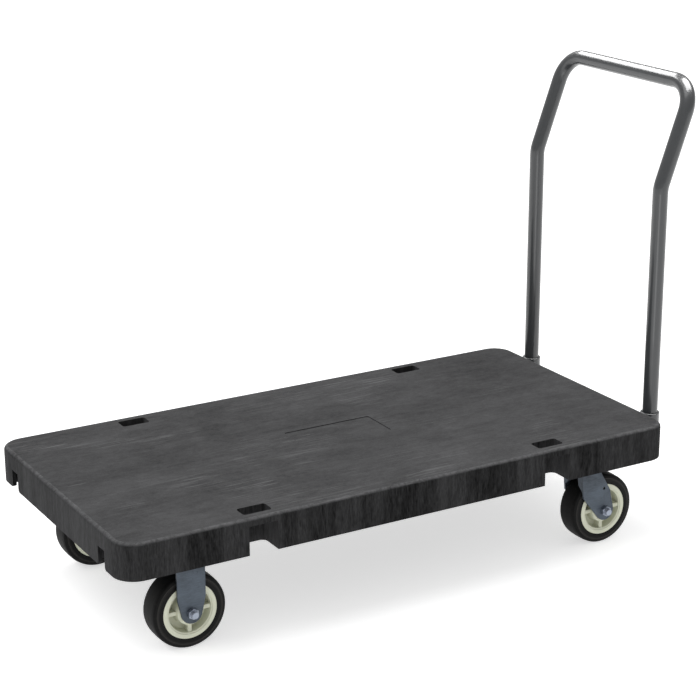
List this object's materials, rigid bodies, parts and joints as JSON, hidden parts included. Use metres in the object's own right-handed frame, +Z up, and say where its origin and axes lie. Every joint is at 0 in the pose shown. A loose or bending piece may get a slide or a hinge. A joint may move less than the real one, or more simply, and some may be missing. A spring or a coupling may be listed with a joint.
{
  "type": "platform cart",
  "caption": "Platform cart with a moulded deck, strap slots, two fixed and two swivel casters, and a lift-out tube handle at one end.",
  "frame": {"origin": "on the floor, at the middle of the cart's overall length and width", "axes": "+X along the deck towards the handle end, +Y to the left of that, +Z up"},
  "size_m": [1.3311, 0.6096, 0.9546],
  "materials": {
    "deck_resin": "moulded structural resin, charcoal, fine grain",
    "handle_paint": "satin grey powder coat",
    "rail_paint": "black paint",
    "fork_steel": "pressed, blue-grey zinc plate",
    "zinc_fasteners": "bright zinc plate",
    "bearing_steel": "ground steel",
    "brass_inserts": "turned brass",
    "cage_plastic": "moulded nylon",
    "core_plastic": "moulded polyolefin, cream",
    "tyre_rubber": "solid moulded rubber"
  },
  "bodies": {
    "root": {"deck": "deck_resin", "deck_ribs": "deck_resin", "caster_bolts": "zinc_fasteners", "caster_washers": "zinc_fasteners", "threaded_inserts": "brass_inserts", "rail_left": "rail_paint", "handle_socket_left": "handle_paint", "socket_floor_left": "handle_paint", "rigid_left_plate": "fork_steel", "rigid_left_fork": "fork_steel", "rigid_left_axle_bushing": "bearing_steel", "rigid_left_axle_bolt": "zinc_fasteners", "rigid_left_axle_nut": "zinc_fasteners", "swivel_left_plate": "fork_steel", "swivel_left_race_cup": "bearing_steel", "swivel_left_kingpin_nut": "zinc_fasteners", "rail_right": "rail_paint", "handle_socket_right": "handle_paint", "socket_floor_right": "handle_paint", "rigid_right_plate": "fork_steel", "rigid_right_fork": "fork_steel", "rigid_right_axle_bushing": "bearing_steel", "rigid_right_axle_bolt": "zinc_fasteners", "rigid_right_axle_nut": "zinc_fasteners", "swivel_right_plate": "fork_steel", "swivel_right_race_cup": "bearing_steel", "swivel_right_kingpin_nut": "zinc_fasteners"},
    "handle": {"handle_tube": "handle_paint"},
    "rigid_left_wheel": {"rigid_left_tyre": "tyre_rubber", "rigid_left_wheel_core": "core_plastic", "rigid_left_bearing_cage": "cage_plastic", "rigid_left_bearing_rollers": "bearing_steel"},
    "swivel_left_fork_body": {"swivel_left_fork": "fork_steel", "swivel_left_upper_balls": "bearing_steel", "swivel_left_lower_balls": "bearing_steel", "swivel_left_axle_bushing": "bearing_steel", "swivel_left_axle_bolt": "zinc_fasteners", "swivel_left_axle_nut": "zinc_fasteners"},
    "swivel_left_wheel": {"swivel_left_tyre": "tyre_rubber", "swivel_left_wheel_core": "core_plastic", "swivel_left_bearing_cage": "cage_plastic", "swivel_left_bearing_rollers": "bearing_steel"},
    "rigid_right_wheel": {"rigid_right_tyre": "tyre_rubber", "rigid_right_wheel_core": "core_plastic", "rigid_right_bearing_cage": "cage_plastic", "rigid_right_bearing_rollers": "bearing_steel"},
    "swivel_right_fork_body": {"swivel_right_fork": "fork_steel", "swivel_right_upper_balls": "bearing_steel", "swivel_right_lower_balls": "bearing_steel", "swivel_right_axle_bushing": "bearing_steel", "swivel_right_axle_bolt": "zinc_fasteners", "swivel_right_axle_nut": "zinc_fasteners"},
    "swivel_right_wheel": {"swivel_right_tyre": "tyre_rubber", "swivel_right_wheel_core": "core_plastic", "swivel_right_bearing_cage": "cage_plastic", "swivel_right_bearing_rollers": "bearing_steel"}
  },
  "joints": [
    {"name": "handle_lift", "type": "slide", "parent": "root", "child": "handle", "axis": [0, 0, 1], "range_m": [0, 0.08]},
    {"name": "rigid_left_wheel_spin", "type": "hinge", "parent": "root", "child": "rigid_left_wheel", "pos_m": [-0.50546, 0.2127, 0.075], "axis": [0, 1, 0], "continuous": true},
    {"name": "swivel_left_swivel", "type": "hinge", "parent": "root", "child": "swivel_left_fork_body", "pos_m": [0.39354, 0.2127, 0.191], "axis": [0, 0, 1], "continuous": true},
    {"name": "swivel_left_wheel_spin", "type": "hinge", "parent": "swivel_left_fork_body", "child": "swivel_left_wheel", "pos_m": [0.44154, 0.2127, 0.075], "axis": [0, 1, 0], "continuous": true},
    {"name": "rigid_right_wheel_spin", "type": "hinge", "parent": "root", "child": "rigid_right_wheel", "pos_m": [-0.50546, -0.2127, 0.075], "axis": [0, 1, 0], "continuous": true},
    {"name": "swivel_right_swivel", "type": "hinge", "parent": "root", "child": "swivel_right_fork_body", "pos_m": [0.39354, -0.2127, 0.191], "axis": [0, 0, 1], "continuous": true},
    {"name": "swivel_right_wheel_spin", "type": "hinge", "parent": "swivel_right_fork_body", "child": "swivel_right_wheel", "pos_m": [0.44154, -0.2127, 0.075], "axis": [0, 1, 0], "continuous": true}
  ]
}
